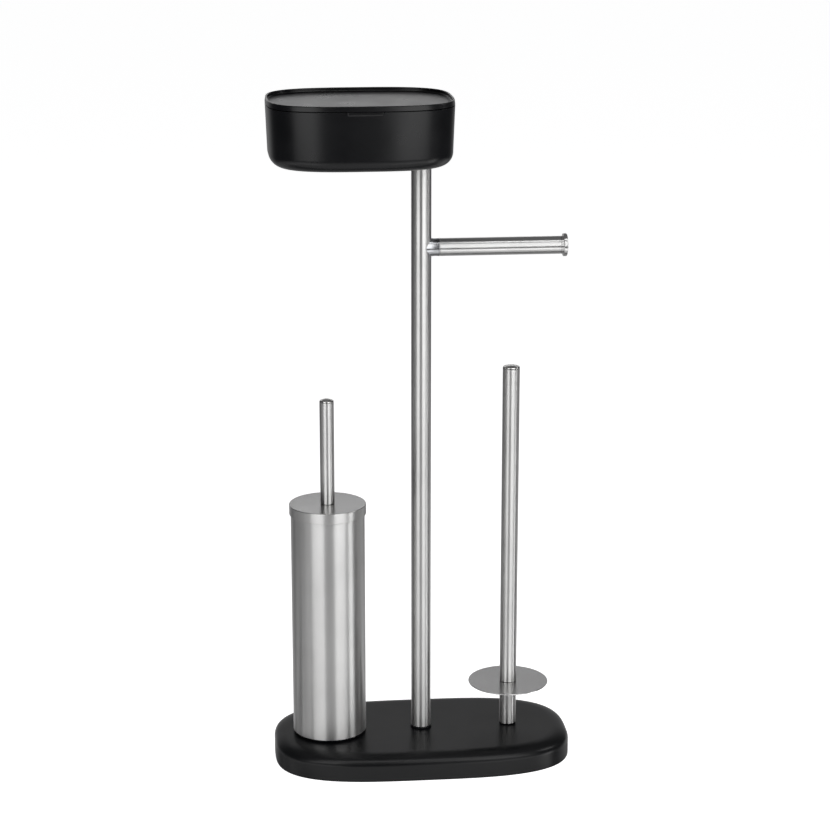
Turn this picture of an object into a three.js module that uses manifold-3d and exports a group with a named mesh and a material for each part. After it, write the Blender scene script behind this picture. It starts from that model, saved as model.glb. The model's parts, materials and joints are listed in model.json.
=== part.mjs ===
// Free-standing toilet butler: an oval weighted base carries a steel column with a lidded box on top and a
// roll arm at its side, a post with a disc for spare rolls, and a loose brush holder with its brush.
// Millimetres, +Z up, +X towards the spare-roll post, -Y towards the user.
// The origin is the middle of the base, on the floor.
import * as THREE from 'three';
import { mergeVertices } from 'three/addons/utils/BufferGeometryUtils.js';
import Module from 'manifold-3d';

const wasm = await Module();
wasm.setup();

// ---------------------------------------------------------------- driving dimensions
const GAP = 0.3;            // clearance kept between pieces that rest on each other
const FIT = 0.4;            // radial clearance of a shank in its hole
const OVER = 1;             // how far a cutter runs past the surface it opens
const TIP = 2;              // how far a thread stops short of the end of its insert
const POINT = 1;            // height of the pointed end of a screw
const POSTS_Y = -1.3;       // column, post and holder stand on one line across the middle of the base

const BASE = {
  halfX: 152.4, halfY: 83, powerX: 3.36, powerY: 2.93, height: 26, wall: 2.8, floorGap: 0.3,
  edgeIn: 18, edgeDown: 10,
};
const WEIGHT = { inset: 16, thickness: 10 };
const FLOOR_PLATE = { inset: 3.3, thickness: 2, accessRadius: 12 };
const FOOT = { radius: 9, height: 1.5, x: 108, y: 42 };
const FLOOR_SCREW = { x: 64, y: 46, shank: 1.6, head: 3.4, length: 15, pilotTop: 18, bossRadius: 4.5 };

const COLUMN = { x: -0.4, radius: 10, wall: 1 };
const COLUMN_RING = { radius: 11, height: 1.5 };
const COLUMN_INSERT = { length: 20, topLength: 22 };
const COLUMN_BOLT = { shank: 3.9, head: 6.5, headHeight: 5.3, socket: 3 };
const WASHER = { radius: 9.5, thickness: 1.6 };

const POST = { x: 90.6, radius: 8.6, wall: 1, top: 410.9, capHeight: 3, crown: 1.3 };
const POST_RING = { radius: 8.4, height: 0.8 };
const POST_INSERT = 16;
const DISC = { radius: 41.2, top: 73.3, thickness: 1, seatRadius: 10 };
const POST_STUD = { radius: 3, reach: 13 };
const TUBE_CAP = { edgeRound: 1.2, plugDepth: 10 };

const ARM = { z: 532.3, radius: 8.85, wall: 1, collarRadius: 9, collarEnd: 17.6, tubeEnd: 138.8, insert: 18 };
const ARM_FLANGE = { radius: 11.4, thickness: 3.7, edge: 0.75, neck: 2.2, spigot: 8 };
const ARM_STUD = { radius: 3, plugHeight: 24 };

const BOX = {
  x: -60.4, y: 0.6, halfX: 91.3, halfY: 75.7, powerX: 3.15, powerY: 3.26, bottom: 617.6, parting: 675.9,
  wall: 2.5, floor: 2.6, taper: 1.7, edgeRound: 12.8,
};
const NOTCH = { width: 37, height: 3.4, depth: 1.7 };
const LID = {
  top: 681.3, seam: 0.25, rim: 1.95, lean: 0.5, edge: 0.5, trayDepth: 3.9, floor: 1.6,
  lipDepth: 4, lipInset: 3.1, lipWall: 1.8,
};
const HINGE = { standoff: 3.4, drop: 0.7, radius: 2.8, pin: 1.2, lidHalf: 8, earLength: 8, seam: 0.6 };
const CLAMP = { radius: 18, thickness: 3 };
const BOX_SCREW = { shank: 2.9, head: 5, headHeight: 4, length: 22 };

const HOLDER = { x: -95.4, radius: 37.5, wall: 1, bottom: 28.6, top: 268.6 };
const HOLDER_FOOT = { radius: 37.1, spigotRadius: 36.1, spigotWall: 1.1, spigotTop: 34.6 };
const LINER = { radius: 34.6, wall: 1.4, floor: 1.6, rimRadius: 37.3, rimHeight: 1.2 };
const CAP = { radius: 39, wall: 1.1, top: 271.6, band: 10.6, edge: 0.8 };
const HANDLE = { radius: 7.2, wall: 0.8, top: 380.7, capHeight: 3, crown: 1.6, insert: 15 };
const HUB = { radius: 12, height: 5.6 };
const STEM = { radius: 4.5, thread: 3, bottom: 114 };
const HEAD = { coreRadius: 10, coreBottom: 60, coreTop: 134, shoulder: 5, shoulderTop: 3 };
const BRISTLES = { radius: 30, bottom: 50, top: 126, chamfer: 8, topChamfer: 4 };

// ---------------------------------------------------------------- materials
const brushedSteel = () => new THREE.MeshStandardMaterial({ color: 0xa9a8a5, roughness: 0.35, metalness: 1 });
const brightSteel = () => new THREE.MeshStandardMaterial({ color: 0xd4d6d8, roughness: 0.12, metalness: 1 });
const zincSteel = () => new THREE.MeshStandardMaterial({ color: 0x9a9da0, roughness: 0.45, metalness: 1 });
const blackPlastic = () => new THREE.MeshStandardMaterial({ color: 0x17181a, roughness: 0.5, metalness: 0 });
const linerPlastic = () => new THREE.MeshStandardMaterial({ color: 0x2a2b2d, roughness: 0.6, metalness: 0 });
const castIron = () => new THREE.MeshStandardMaterial({ color: 0x3a3b3d, roughness: 0.8, metalness: 0.7 });
const blackRubber = () => new THREE.MeshStandardMaterial({ color: 0x111112, roughness: 0.9, metalness: 0 });
const nylonBristle = () => new THREE.MeshStandardMaterial({ color: 0x202124, roughness: 0.8, metalness: 0 });

// ---------------------------------------------------------------- shapes
const OVAL_STEPS = 56;
const WIDE_STEPS = 36;
const TUBE_STEPS = 24;
const SMALL_STEPS = 12;
const ROUND_STEPS = 5;

// a solid turned about the Z axis from [radius, z] points, which run from the lower to the upper end
function turned(profile, steps) {
  const points = profile.map(([radius, z]) => new THREE.Vector2(radius, z));
  return new THREE.LatheGeometry(points, steps).rotateX(Math.PI / 2);
}

function rod(radius, low, high, steps = SMALL_STEPS) {
  return turned([[0, low], [radius, low], [radius, high], [0, high]], steps);
}

function pipe(outer, inner, low, high, steps = TUBE_STEPS) {
  return turned([[inner, low], [outer, low], [outer, high], [inner, high], [inner, low]], steps);
}

function rodAlongX(radius, start, end, steps = SMALL_STEPS) {
  return rod(radius, start, end, steps).rotateY(Math.PI / 2);
}

function block(sizeX, sizeY, sizeZ, x, y, z) {
  return new THREE.BoxGeometry(sizeX, sizeY, sizeZ).translate(x, y, z);
}

// [inset, z] points round an elliptical edge, from one angle to another in degrees
function roundOver(centreInset, centreZ, across, up, from, to) {
  return Array.from({ length: ROUND_STEPS + 1 }, (_, i) => {
    const angle = THREE.MathUtils.degToRad(from + ((to - from) * i) / ROUND_STEPS);
    return [centreInset - across * Math.cos(angle), centreZ + up * Math.sin(angle)];
  });
}

function signedPower(value, power) {
  return Math.sign(value) * Math.abs(value) ** power;
}

// a solid built of superellipse rings, each an [inset, z] step from the outline, closed flat at both ends
function ovalSolid(outline, profile) {
  const positions = [];
  for (const [inset, z] of profile) {
    for (let i = 0; i < OVAL_STEPS; i += 1) {
      const angle = (2 * Math.PI * i) / OVAL_STEPS;
      const x = (outline.halfX - inset) * signedPower(Math.cos(angle), 2 / outline.powerX);
      const y = (outline.halfY - inset) * signedPower(Math.sin(angle), 2 / outline.powerY);
      positions.push(x, y, z);
    }
  }
  const start = profile.length * OVAL_STEPS;
  const end = start + 1;
  positions.push(0, 0, profile[0][1], 0, 0, profile[profile.length - 1][1]);
  const triangles = [];
  for (let i = 0; i < OVAL_STEPS; i += 1) {
    const next = (i + 1) % OVAL_STEPS;
    for (let ring = 0; ring < profile.length - 1; ring += 1) {
      const low = ring * OVAL_STEPS;
      const high = low + OVAL_STEPS;
      triangles.push(low + i, low + next, high + next, low + i, high + next, high + i);
    }
    const last = (profile.length - 1) * OVAL_STEPS;
    triangles.push(start, next, i, end, last + i, last + next);
  }
  const geometry = new THREE.BufferGeometry();
  geometry.setAttribute('position', new THREE.Float32BufferAttribute(positions, 3));
  geometry.setIndex(triangles);
  geometry.computeVertexNormals();
  return geometry;
}

// ---------------------------------------------------------------- joining and cutting
function toSolid(geometry) {
  const bare = geometry.clone();
  bare.deleteAttribute('normal');
  bare.deleteAttribute('uv');
  const merged = mergeVertices(bare);
  const corners = Array.from(merged.index.array);
  const triangles = [];
  for (let i = 0; i < corners.length; i += 3) {
    const [a, b, c] = corners.slice(i, i + 3);
    if (a !== b && b !== c && c !== a) triangles.push(a, b, c);
  }
  return new wasm.Manifold(new wasm.Mesh({
    numProp: 3,
    vertProperties: merged.attributes.position.array,
    triVerts: Uint32Array.from(triangles),
  }));
}

function toGeometry(solid) {
  const mesh = solid.getMesh();
  const geometry = new THREE.BufferGeometry();
  geometry.setAttribute('position', new THREE.Float32BufferAttribute(mesh.vertProperties, 3));
  geometry.setIndex(Array.from(mesh.triVerts));
  geometry.computeVertexNormals();
  return geometry;
}

function join(first, ...others) {
  return toGeometry(others.reduce((solid, piece) => solid.add(toSolid(piece)), toSolid(first)));
}

function cut(body, ...cutters) {
  return toGeometry(cutters.reduce((solid, cutter) => solid.subtract(toSolid(cutter)), toSolid(body)));
}

// ---------------------------------------------------------------- the scene graph
const butler = new THREE.Group();

function station(parent, x, y, z = 0) {
  const group = new THREE.Group();
  group.position.set(x, y, z);
  parent.add(group);
  return group;
}

function addPiece(parent, name, geometry, material) {
  const mesh = new THREE.Mesh(geometry, material);
  mesh.name = name;
  parent.add(mesh);
}

const fourCorners = [[1, 1], [-1, 1], [-1, -1], [1, -1]];

// ---------------------------------------------------------------- base
const coverInnerTop = BASE.height - BASE.wall;
const weightTop = coverInnerTop - GAP;
const weightBottom = weightTop - WEIGHT.thickness;
const plateBottom = FOOT.height + GAP;
const plateTop = plateBottom + FLOOR_PLATE.thickness;
const screwSpots = fourCorners.map(([sx, sy]) => [sx * FLOOR_SCREW.x, sy * FLOOR_SCREW.y]);
const boltSpots = [[COLUMN.x, POSTS_Y], [POST.x, POSTS_Y]];

function upright(geometry, [x, y]) {
  return geometry.translate(x, y, 0);
}

function baseCover() {
  const roundZ = BASE.height - BASE.edgeDown;
  const shell = ovalSolid(BASE, [
    ...roundOver(BASE.edgeIn, roundZ, BASE.edgeIn - BASE.wall, BASE.edgeDown - BASE.wall, 90, 0),
    [BASE.wall, BASE.floorGap],
    [0, BASE.floorGap],
    ...roundOver(BASE.edgeIn, roundZ, BASE.edgeIn, BASE.edgeDown, 0, 90),
  ]);
  const bosses = screwSpots.map((spot) => {
    return upright(rod(FLOOR_SCREW.bossRadius, plateTop + GAP, coverInnerTop + OVER), spot);
  });
  const pilots = screwSpots.map((spot) => {
    return upright(rod(FLOOR_SCREW.shank + GAP, plateTop, FLOOR_SCREW.pilotTop), spot);
  });
  const boltHoles = boltSpots.map((spot) => {
    return upright(rod(COLUMN_BOLT.shank + FIT, coverInnerTop - OVER, BASE.height + OVER), spot);
  });
  return cut(join(shell, ...bosses), ...pilots, ...boltHoles);
}

function baseWeight() {
  const plate = ovalSolid(BASE, [[WEIGHT.inset, weightBottom], [WEIGHT.inset, weightTop]]);
  const bossHoles = screwSpots.map((spot) => {
    return upright(rod(FLOOR_SCREW.bossRadius + FIT, weightBottom - OVER, weightTop + OVER), spot);
  });
  const boltHoles = boltSpots.map((spot) => {
    return upright(rod(COLUMN_BOLT.shank + FIT, weightBottom - OVER, weightTop + OVER), spot);
  });
  return cut(plate, ...bossHoles, ...boltHoles);
}

function countersink() {
  const low = plateBottom - GAP;
  const high = plateTop + GAP;
  return turned([
    [0, low], [FLOOR_SCREW.head + GAP, low], [FLOOR_SCREW.shank + GAP, high], [0, high],
  ], SMALL_STEPS);
}

function basePlate() {
  const plate = ovalSolid(BASE, [[FLOOR_PLATE.inset, plateBottom], [FLOOR_PLATE.inset, plateTop]]);
  const access = boltSpots.map((spot) => {
    return upright(rod(FLOOR_PLATE.accessRadius, plateBottom - OVER, plateTop + OVER, TUBE_STEPS), spot);
  });
  const sinks = screwSpots.map((spot) => upright(countersink(), spot));
  return cut(plate, ...access, ...sinks);
}

function floorScrew() {
  return turned([
    [0, plateBottom], [FLOOR_SCREW.head, plateBottom], [FLOOR_SCREW.shank, plateTop],
    [FLOOR_SCREW.shank, FLOOR_SCREW.length], [0, FLOOR_SCREW.length + POINT],
  ], SMALL_STEPS);
}

const base = station(butler, 0, 0);
addPiece(base, 'base_cover', baseCover(), blackPlastic());
addPiece(base, 'base_weight', baseWeight(), castIron());
addPiece(base, 'base_floor_plate', basePlate(), blackPlastic());
fourCorners.forEach(([sx, sy], i) => {
  const screw = station(base, sx * FLOOR_SCREW.x, sy * FLOOR_SCREW.y);
  addPiece(screw, `floor_screw_${i + 1}`, floorScrew(), zincSteel());
  const pad = station(base, sx * FOOT.x, sy * FOOT.y);
  addPiece(pad, `foot_pad_${i + 1}`, rod(FOOT.radius, 0, FOOT.height, TUBE_STEPS), blackRubber());
});

// ---------------------------------------------------------------- fasteners of the two uprights
function holedDisc(radius, low, high, steps = TUBE_STEPS) {
  return pipe(radius, COLUMN_BOLT.shank + FIT, low, high, steps);
}

function baseBolt(tip) {
  const headTop = weightBottom - GAP - WASHER.thickness - GAP;
  const headBottom = headTop - COLUMN_BOLT.headHeight;
  const socketTop = headBottom + COLUMN_BOLT.headHeight / 2;
  return turned([
    [0, socketTop], [COLUMN_BOLT.socket, socketTop], [COLUMN_BOLT.socket, headBottom],
    [COLUMN_BOLT.head, headBottom], [COLUMN_BOLT.head, headTop],
    [COLUMN_BOLT.shank, headTop], [COLUMN_BOLT.shank, tip], [0, tip + POINT],
  ], SMALL_STEPS);
}

function washer() {
  return holedDisc(WASHER.radius, weightBottom - GAP - WASHER.thickness, weightBottom - GAP, SMALL_STEPS);
}

// ---------------------------------------------------------------- column
const column = station(butler, COLUMN.x, POSTS_Y);
const columnBore = COLUMN.radius - COLUMN.wall;
const columnFoot = BASE.height + GAP + COLUMN_RING.height + GAP;
const columnTop = BOX.bottom - GAP;

function columnTube() {
  const tube = pipe(COLUMN.radius, columnBore, columnFoot, columnTop);
  const studHole = rodAlongX(ARM_STUD.radius + FIT, 0, COLUMN.radius + OVER).translate(0, 0, ARM.z);
  return cut(tube, studHole);
}

function columnRing() {
  const low = BASE.height + GAP;
  return holedDisc(COLUMN_RING.radius, low, low + COLUMN_RING.height);
}

function columnBottomInsert() {
  return holedDisc(columnBore - GAP, columnFoot + GAP, columnFoot + COLUMN_INSERT.length, SMALL_STEPS);
}

function columnTopInsert() {
  const low = columnTop - COLUMN_INSERT.topLength;
  return pipe(columnBore - GAP, BOX_SCREW.shank + FIT, low, columnTop - GAP, SMALL_STEPS);
}

function columnArmPlug() {
  const plug = rod(columnBore - GAP, -ARM_STUD.plugHeight / 2, ARM_STUD.plugHeight / 2);
  const thread = rodAlongX(ARM_STUD.radius + GAP, -COLUMN.radius / 2, COLUMN.radius + OVER);
  return cut(plug, thread).translate(0, 0, ARM.z);
}

addPiece(column, 'column_tube', columnTube(), brushedSteel());
addPiece(column, 'column_foot_ring', columnRing(), blackPlastic());
addPiece(column, 'column_bottom_insert', columnBottomInsert(), zincSteel());
addPiece(column, 'column_bolt', baseBolt(columnFoot + COLUMN_INSERT.length - TIP), zincSteel());
addPiece(column, 'column_washer', washer(), zincSteel());
addPiece(column, 'column_top_insert', columnTopInsert(), zincSteel());
addPiece(column, 'column_arm_plug', columnArmPlug(), zincSteel());

// ---------------------------------------------------------------- roll arm
const arm = station(column, 0, 0, ARM.z);
const armBore = ARM.radius - ARM.wall;
const armTubeStart = ARM.collarEnd + GAP;

function armCollar() {
  const sleeve = rodAlongX(ARM.collarRadius, 0, ARM.collarEnd, TUBE_STEPS);
  const saddle = rod(COLUMN.radius + GAP, -2 * ARM.collarRadius, 2 * ARM.collarRadius, TUBE_STEPS);
  const studHole = rodAlongX(ARM_STUD.radius + FIT, -OVER, ARM.collarEnd + OVER);
  return cut(sleeve, saddle, studHole);
}

function alongX(geometry) {
  return geometry.rotateY(Math.PI / 2);
}

function armFlange() {
  const seat = ARM.tubeEnd + GAP;
  const face = seat + ARM_FLANGE.neck;
  const tip = face + ARM_FLANGE.thickness;
  const spigotEnd = seat - ARM_FLANGE.spigot;
  return alongX(turned([
    [0, spigotEnd], [armBore - GAP, spigotEnd], [armBore - GAP, seat], [ARM.radius, seat], [ARM.radius, face],
    [ARM_FLANGE.radius, face], [ARM_FLANGE.radius, tip - ARM_FLANGE.edge],
    [ARM_FLANGE.radius - ARM_FLANGE.edge, tip], [0, tip],
  ], TUBE_STEPS));
}

const armInsertStart = armTubeStart + GAP;
const armInsertEnd = armInsertStart + ARM.insert;
addPiece(arm, 'arm_collar', armCollar(), brightSteel());
addPiece(arm, 'arm_tube', alongX(pipe(ARM.radius, armBore, armTubeStart, ARM.tubeEnd)), brushedSteel());
addPiece(arm, 'arm_end_flange', armFlange(), brushedSteel());
addPiece(arm, 'arm_stud', rodAlongX(
  ARM_STUD.radius, TIP - COLUMN.radius / 2, armInsertEnd - TIP,
), zincSteel());
addPiece(arm, 'arm_insert', alongX(
  pipe(armBore - GAP, ARM_STUD.radius + GAP, armInsertStart, armInsertEnd, SMALL_STEPS),
), zincSteel());

// ---------------------------------------------------------------- spare-roll post
const post = station(butler, POST.x, POSTS_Y);
const postBore = POST.radius - POST.wall;
const postFoot = BASE.height + GAP + POST_RING.height + GAP;
const discBottom = DISC.top - DISC.thickness;
const lowerTop = discBottom - GAP;
const upperFoot = DISC.top + GAP;
const postCapSeat = POST.top - POST.capHeight;

// a plug with a rounded edge and a shallow dome that closes the top of a tube
function domedCap(radius, bore, seat, top, crown) {
  const round = TUBE_CAP.edgeRound;
  const plugEnd = seat - TUBE_CAP.plugDepth;
  const edge = roundOver(round, top - crown - round, round, round, 0, 90);
  return turned([
    [0, plugEnd], [bore - GAP, plugEnd], [bore - GAP, seat], [radius, seat],
    ...edge.map(([inset, z]) => [radius - inset, z]),
    [(radius - round) / 2, top - crown / 4], [0, top],
  ], TUBE_STEPS);
}

function postInsert(low, high) {
  return pipe(postBore - GAP, POST_STUD.radius + GAP, low, high, SMALL_STEPS);
}

// the upper tube stands inside the seat radius, and the roll rests on the flat ring outside it
function spareDisc() {
  const hole = POST_STUD.radius + FIT;
  return turned([
    [hole, discBottom], [DISC.radius, discBottom], [DISC.radius, DISC.top], [DISC.seatRadius, DISC.top],
    [hole, DISC.top], [hole, discBottom],
  ], WIDE_STEPS);
}

addPiece(post, 'spare_post_ring', holedDisc(
  POST_RING.radius, BASE.height + GAP, postFoot - GAP,
), blackPlastic());
addPiece(post, 'spare_post_lower_tube', pipe(POST.radius, postBore, postFoot, lowerTop), brushedSteel());
addPiece(post, 'spare_post_bottom_insert', holedDisc(
  postBore - GAP, postFoot + GAP, postFoot + POST_INSERT, SMALL_STEPS,
), zincSteel());
addPiece(post, 'spare_post_bolt', baseBolt(postFoot + POST_INSERT - TIP), zincSteel());
addPiece(post, 'spare_post_washer', washer(), zincSteel());
addPiece(post, 'spare_post_middle_insert', postInsert(lowerTop - POST_INSERT, lowerTop - GAP), zincSteel());
addPiece(post, 'spare_disc', spareDisc(), brushedSteel());
addPiece(post, 'spare_post_stud', rod(
  POST_STUD.radius, discBottom - POST_STUD.reach, DISC.top + POST_STUD.reach,
), zincSteel());
addPiece(post, 'spare_post_upper_insert', postInsert(upperFoot + GAP, upperFoot + POST_INSERT), zincSteel());
addPiece(post, 'spare_post_upper_tube', pipe(
  POST.radius, postBore, upperFoot, postCapSeat - GAP,
), brushedSteel());
addPiece(post, 'spare_post_cap', domedCap(
  POST.radius, postBore, postCapSeat, POST.top, POST.crown,
), brushedSteel());

// ---------------------------------------------------------------- box on the column
const box = station(butler, BOX.x, BOX.y);
const boxRim = BOX.parting - LID.seam;
const lidRim = BOX.parting + LID.seam;
const hingeY = BOX.halfY + HINGE.standoff;
const hingeZ = BOX.parting - HINGE.drop;
const columnInBox = [COLUMN.x - BOX.x, POSTS_Y - BOX.y];
const boxFloor = BOX.bottom + BOX.floor;

function hingeKnuckle(start, end) {
  return rodAlongX(HINGE.radius, start, end).translate(0, hingeY, hingeZ);
}

function hingeWeb(start, end, low, high) {
  const depth = HINGE.standoff + BOX.wall / 2;
  return block(end - start, depth, high - low, (start + end) / 2, hingeY - depth / 2, (low + high) / 2);
}

// a scoop that is deepest at the rim and runs out to nothing at its lower edge
function fingerNotch() {
  const front = -BOX.halfY;
  const scoop = new THREE.Shape();
  scoop.moveTo(front - OVER, OVER);
  scoop.lineTo(front + NOTCH.depth, OVER);
  scoop.lineTo(front + NOTCH.depth, 0);
  scoop.lineTo(front, -NOTCH.height);
  scoop.lineTo(front - OVER, -NOTCH.height);
  const extruded = new THREE.ExtrudeGeometry(scoop, { depth: NOTCH.width, bevelEnabled: false });
  return extruded.rotateX(Math.PI / 2).rotateZ(Math.PI / 2).translate(-NOTCH.width / 2, 0, boxRim);
}

function boxBody() {
  const roundInset = BOX.taper + BOX.edgeRound;
  const innerRound = BOX.edgeRound - BOX.wall;
  const shell = ovalSolid(BOX, [
    ...roundOver(roundInset, BOX.bottom + BOX.edgeRound, BOX.edgeRound, BOX.edgeRound, -90, 0),
    [0, boxRim],
    [BOX.wall, boxRim],
    ...roundOver(roundInset, boxFloor + innerRound, innerRound, innerRound, 0, -90),
  ]);
  const earStart = HINGE.lidHalf + HINGE.seam;
  const earEnd = earStart + HINGE.earLength;
  const webLow = hingeZ - HINGE.radius;
  const body = join(
    shell,
    hingeKnuckle(earStart, earEnd), hingeKnuckle(-earEnd, -earStart),
    hingeWeb(earStart, earEnd, webLow, hingeZ), hingeWeb(-earEnd, -earStart, webLow, hingeZ),
  );
  const pinHole = rodAlongX(HINGE.pin + GAP, -earEnd - OVER, earEnd + OVER).translate(0, hingeY, hingeZ);
  const screwHole = upright(rod(BOX_SCREW.shank + FIT, BOX.bottom - OVER, boxFloor + OVER), columnInBox);
  return cut(body, pinHole, screwHole, fingerNotch());
}

function clampPlate() {
  const low = boxFloor + GAP;
  return pipe(CLAMP.radius, BOX_SCREW.shank + FIT, low, low + CLAMP.thickness);
}

function boxScrew() {
  const seat = boxFloor + GAP + CLAMP.thickness + GAP;
  return turned([
    [0, seat - BOX_SCREW.length - POINT], [BOX_SCREW.shank, seat - BOX_SCREW.length], [BOX_SCREW.shank, seat],
    [BOX_SCREW.head, seat], [BOX_SCREW.head, seat + BOX_SCREW.headHeight], [0, seat + BOX_SCREW.headHeight],
  ], SMALL_STEPS);
}

function hingePin() {
  const half = HINGE.lidHalf + HINGE.seam + HINGE.earLength;
  return rodAlongX(HINGE.pin, -half, half).translate(0, hingeY, hingeZ);
}

const boxFixing = station(box, ...columnInBox);
addPiece(box, 'box_body', boxBody(), blackPlastic());
addPiece(box, 'hinge_pin', hingePin(), zincSteel());
addPiece(boxFixing, 'box_clamp_plate', clampPlate(), zincSteel());
addPiece(boxFixing, 'box_screw', boxScrew(), zincSteel());

// ---------------------------------------------------------------- lid with its phone tray
function lidShell() {
  const trayFloor = LID.top - LID.trayDepth;
  const underside = trayFloor - LID.floor;
  const lipLow = boxRim - LID.lipDepth;
  const lipInner = LID.lipInset + LID.lipWall;
  const rimEdge = LID.top - LID.edge;
  const rimInner = LID.lean + LID.rim;
  const shell = ovalSolid(BOX, [
    [lipInner, underside], [lipInner, lipLow], [LID.lipInset, lipLow], [LID.lipInset, lidRim],
    [0, lidRim], [LID.lean, rimEdge], [LID.lean + LID.edge, LID.top], [rimInner - LID.edge, LID.top],
    [rimInner, rimEdge], [rimInner + LID.edge, trayFloor + LID.edge], [rimInner + 2 * LID.edge, trayFloor],
  ]);
  const webHigh = hingeZ + HINGE.radius;
  const lid = join(
    shell,
    hingeKnuckle(-HINGE.lidHalf, HINGE.lidHalf),
    hingeWeb(-HINGE.lidHalf, HINGE.lidHalf, lidRim, webHigh),
  );
  const reach = HINGE.lidHalf + OVER;
  return cut(lid, rodAlongX(HINGE.pin + GAP, -reach, reach).translate(0, hingeY, hingeZ));
}

addPiece(box, 'lid_shell', lidShell(), blackPlastic());

// ---------------------------------------------------------------- brush holder
const holder = station(butler, HOLDER.x, POSTS_Y);
const holderBore = HOLDER.radius - HOLDER.wall;

function holderFoot() {
  const low = BASE.height + GAP;
  const seat = HOLDER.bottom - GAP;
  const spigotInner = HOLDER_FOOT.spigotRadius - HOLDER_FOOT.spigotWall;
  return turned([
    [0, low], [HOLDER_FOOT.radius, low], [HOLDER_FOOT.radius, seat],
    [HOLDER_FOOT.spigotRadius, seat], [HOLDER_FOOT.spigotRadius, HOLDER_FOOT.spigotTop],
    [spigotInner, HOLDER_FOOT.spigotTop], [spigotInner, seat], [0, seat],
  ], WIDE_STEPS);
}

function linerCup() {
  const low = HOLDER.bottom;
  const inner = LINER.radius - LINER.wall;
  const rimLow = HOLDER.top + GAP;
  const rimHigh = rimLow + LINER.rimHeight;
  return turned([
    [0, low], [LINER.radius, low], [LINER.radius, rimLow], [LINER.rimRadius, rimLow],
    [LINER.rimRadius, rimHigh], [inner, rimHigh], [inner, low + LINER.floor], [0, low + LINER.floor],
  ], WIDE_STEPS);
}

addPiece(holder, 'holder_tube', pipe(
  HOLDER.radius, holderBore, HOLDER.bottom, HOLDER.top, WIDE_STEPS,
), brushedSteel());
addPiece(holder, 'holder_foot', holderFoot(), blackPlastic());
addPiece(holder, 'holder_liner_cup', linerCup(), linerPlastic());

// ---------------------------------------------------------------- toilet brush
const capUnder = CAP.top - CAP.wall;
const hubTop = capUnder - GAP;
const hubLow = hubTop - HUB.height;
const handleFoot = CAP.top + GAP;
const handleBore = HANDLE.radius - HANDLE.wall;
const handleCapSeat = HANDLE.top - HANDLE.capHeight;
const threadHole = STEM.thread + FIT;

function lidCap() {
  const inner = CAP.radius - CAP.wall;
  const bandLow = CAP.top - CAP.band;
  return turned([
    [threadHole, capUnder], [inner, capUnder], [inner, bandLow], [CAP.radius, bandLow],
    [CAP.radius, CAP.top - CAP.edge], [CAP.radius - CAP.edge, CAP.top], [threadHole, CAP.top],
    [threadHole, capUnder],
  ], WIDE_STEPS);
}

function stem() {
  const threadEnd = handleFoot + HANDLE.insert - TIP;
  return turned([
    [0, STEM.bottom], [STEM.radius, STEM.bottom], [STEM.radius, hubLow - GAP], [STEM.thread, hubLow - GAP],
    [STEM.thread, threadEnd], [0, threadEnd + POINT],
  ], SMALL_STEPS);
}

function brushCore() {
  const socket = STEM.radius + GAP;
  return turned([
    [0, HEAD.coreBottom], [HEAD.coreRadius - HEAD.shoulder, HEAD.coreBottom],
    [HEAD.coreRadius, HEAD.coreBottom + HEAD.shoulder], [HEAD.coreRadius, HEAD.coreTop - HEAD.shoulder],
    [HEAD.coreRadius - HEAD.shoulderTop, HEAD.coreTop], [socket, HEAD.coreTop],
    [socket, STEM.bottom - GAP], [0, STEM.bottom - GAP],
  ], SMALL_STEPS);
}

function bristleMass() {
  const inner = HEAD.coreRadius + GAP;
  const innerLow = HEAD.coreBottom - GAP;
  return turned([
    [0, BRISTLES.bottom], [BRISTLES.radius - BRISTLES.chamfer, BRISTLES.bottom],
    [BRISTLES.radius, BRISTLES.bottom + BRISTLES.chamfer], [BRISTLES.radius, BRISTLES.top - BRISTLES.chamfer],
    [BRISTLES.radius - BRISTLES.topChamfer, BRISTLES.top], [inner, BRISTLES.top],
    [inner, innerLow], [0, innerLow],
  ], TUBE_STEPS);
}

addPiece(holder, 'brush_lid_cap', lidCap(), brushedSteel());
addPiece(holder, 'brush_handle_tube', pipe(
  HANDLE.radius, handleBore, handleFoot, handleCapSeat - GAP,
), brushedSteel());
addPiece(holder, 'brush_handle_cap', domedCap(
  HANDLE.radius, handleBore, handleCapSeat, HANDLE.top, HANDLE.crown,
), brushedSteel());
addPiece(holder, 'brush_handle_insert', pipe(
  handleBore - GAP, STEM.thread + GAP, handleFoot + GAP, handleFoot + HANDLE.insert, SMALL_STEPS,
), zincSteel());
addPiece(holder, 'brush_hub', pipe(HUB.radius, threadHole, hubLow, hubTop, SMALL_STEPS), blackPlastic());
addPiece(holder, 'brush_stem', stem(), blackPlastic());
addPiece(holder, 'brush_head_core', brushCore(), blackPlastic());
addPiece(holder, 'brush_bristles', bristleMass(), nylonBristle());

export default butler;
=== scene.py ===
"""A free-standing toilet butler: weighted oval base, steel column with a lidded box and a roll arm,
spare-roll post, and a brush in a loose steel holder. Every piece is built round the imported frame."""
import json
import math
import random

import bmesh
import bpy
from mathutils import Matrix, Vector


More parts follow.
